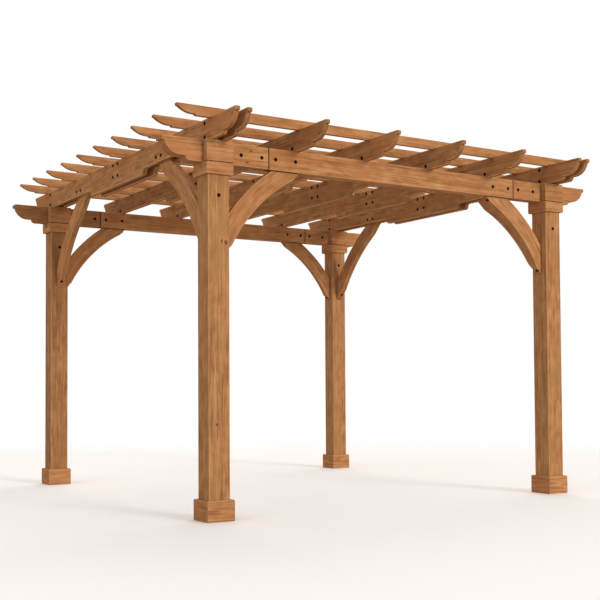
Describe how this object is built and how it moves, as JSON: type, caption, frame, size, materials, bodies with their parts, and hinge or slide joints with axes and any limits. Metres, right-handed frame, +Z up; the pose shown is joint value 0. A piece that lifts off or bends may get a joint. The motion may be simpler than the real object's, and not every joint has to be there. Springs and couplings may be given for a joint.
{
  "type": "wooden garden pergola",
  "caption": "Free-standing open wooden pergola: square posts with boxed collars, curved braces, spliced beams, shaped rafters and notched purlins overhead.",
  "frame": {"origin": "middle of the plan, on the ground", "axes": "+X along the beams, +Y along the rafters from front to rear, +Z up"},
  "size_m": [3.652, 3.734, 2.571],
  "materials": {
    "post_wood": "stained softwood, satin",
    "collar_wood": "stained softwood, satin",
    "beam_wood": "stained softwood, satin",
    "brace_wood": "stained softwood, satin",
    "rafter_wood": "stained softwood, satin",
    "purlin_wood": "stained softwood, satin"
  },
  "bodies": {
    "root": {"post_front_left": "post_wood", "post_front_right": "post_wood", "post_rear_left": "post_wood", "post_rear_right": "post_wood", "base_collar_front_left": "collar_wood", "base_collar_front_right": "collar_wood", "base_collar_rear_left": "collar_wood", "base_collar_rear_right": "collar_wood", "cap_collar_front_left": "collar_wood", "cap_collar_front_right": "collar_wood", "cap_collar_rear_left": "collar_wood", "cap_collar_rear_right": "collar_wood", "cheek_blocks_front": "beam_wood", "cheek_blocks_rear": "beam_wood", "front_beam_left_end": "beam_wood", "front_beam_middle": "beam_wood", "front_beam_right_end": "beam_wood", "rear_beam_left_end": "beam_wood", "rear_beam_middle": "beam_wood", "rear_beam_right_end": "beam_wood", "beam_brace_front_left": "brace_wood", "beam_brace_front_right": "brace_wood", "beam_brace_rear_left": "brace_wood", "beam_brace_rear_right": "brace_wood", "rafter_brace_front_left": "brace_wood", "rafter_brace_front_right": "brace_wood", "rafter_brace_rear_left": "brace_wood", "rafter_brace_rear_right": "brace_wood", "rafter_pair_left": "rafter_wood", "rafter_1": "rafter_wood", "rafter_2": "rafter_wood", "rafter_3": "rafter_wood", "rafter_4": "rafter_wood", "rafter_pair_right": "rafter_wood", "purlin_01": "purlin_wood", "purlin_02": "purlin_wood", "purlin_03": "purlin_wood", "purlin_04": "purlin_wood", "purlin_05": "purlin_wood", "purlin_06": "purlin_wood", "purlin_07": "purlin_wood", "purlin_08": "purlin_wood", "purlin_09": "purlin_wood", "purlin_10": "purlin_wood"}
  },
  "joints": []
}
